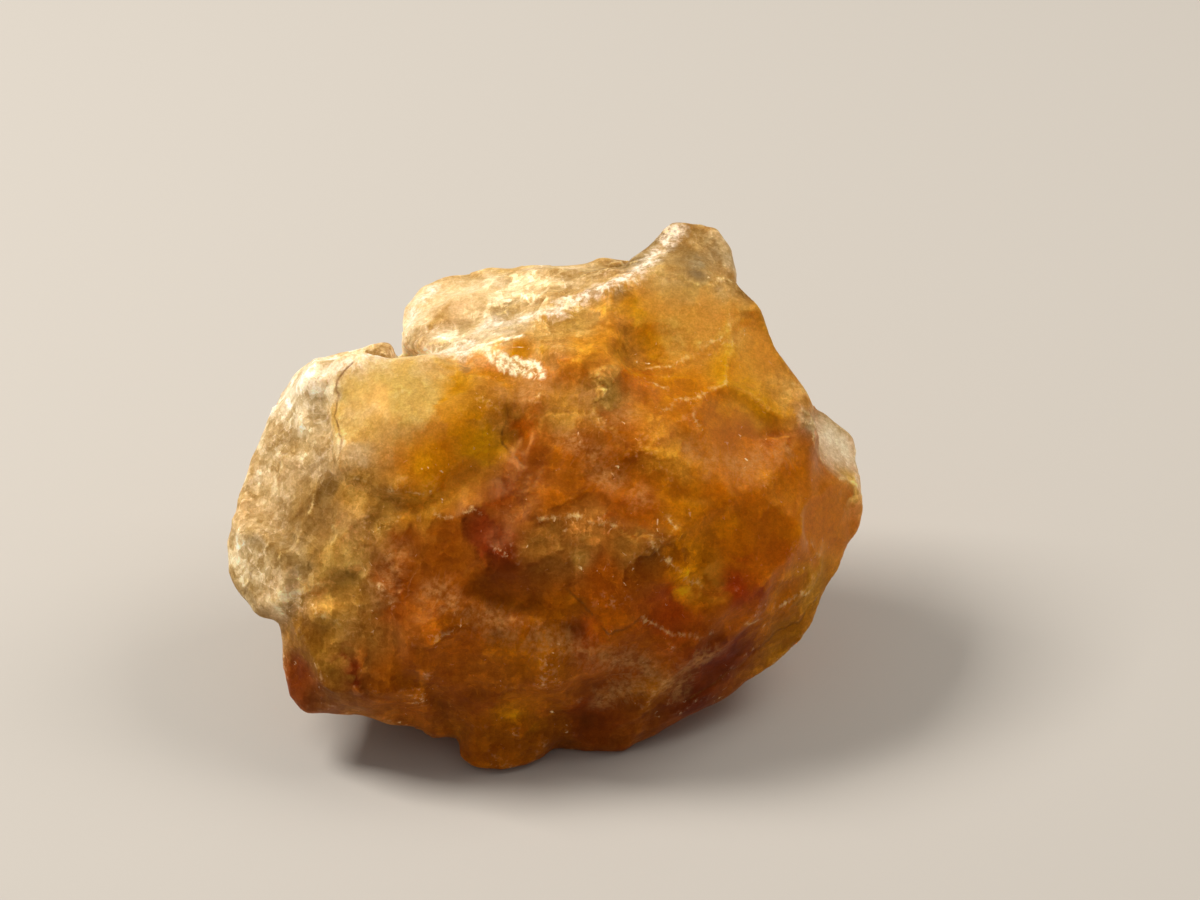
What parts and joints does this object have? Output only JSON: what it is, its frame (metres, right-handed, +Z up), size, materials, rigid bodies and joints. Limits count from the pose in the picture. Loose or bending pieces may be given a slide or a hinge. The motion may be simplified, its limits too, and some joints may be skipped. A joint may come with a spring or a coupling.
{
  "type": "danburite crystal",
  "caption": "Rough, broken, see-through amber mineral piece with conchoidal breaks, a pointed peak and a flat break to lie on.",
  "frame": {"origin": "on the flat break it lies on, under the middle of its box", "axes": "+Z up; +X along the stone's length, from the rounded left lobe to the right horn; -Y faces the broad broken face"},
  "size_m": [0.036, 0.024, 0.0228],
  "materials": {
    "danburite": "vitreous on fresh breaks, waxy to frosted on worn skin"
  },
  "bodies": {
    "root": {"danburite_crystal": "danburite"}
  },
  "joints": []
}
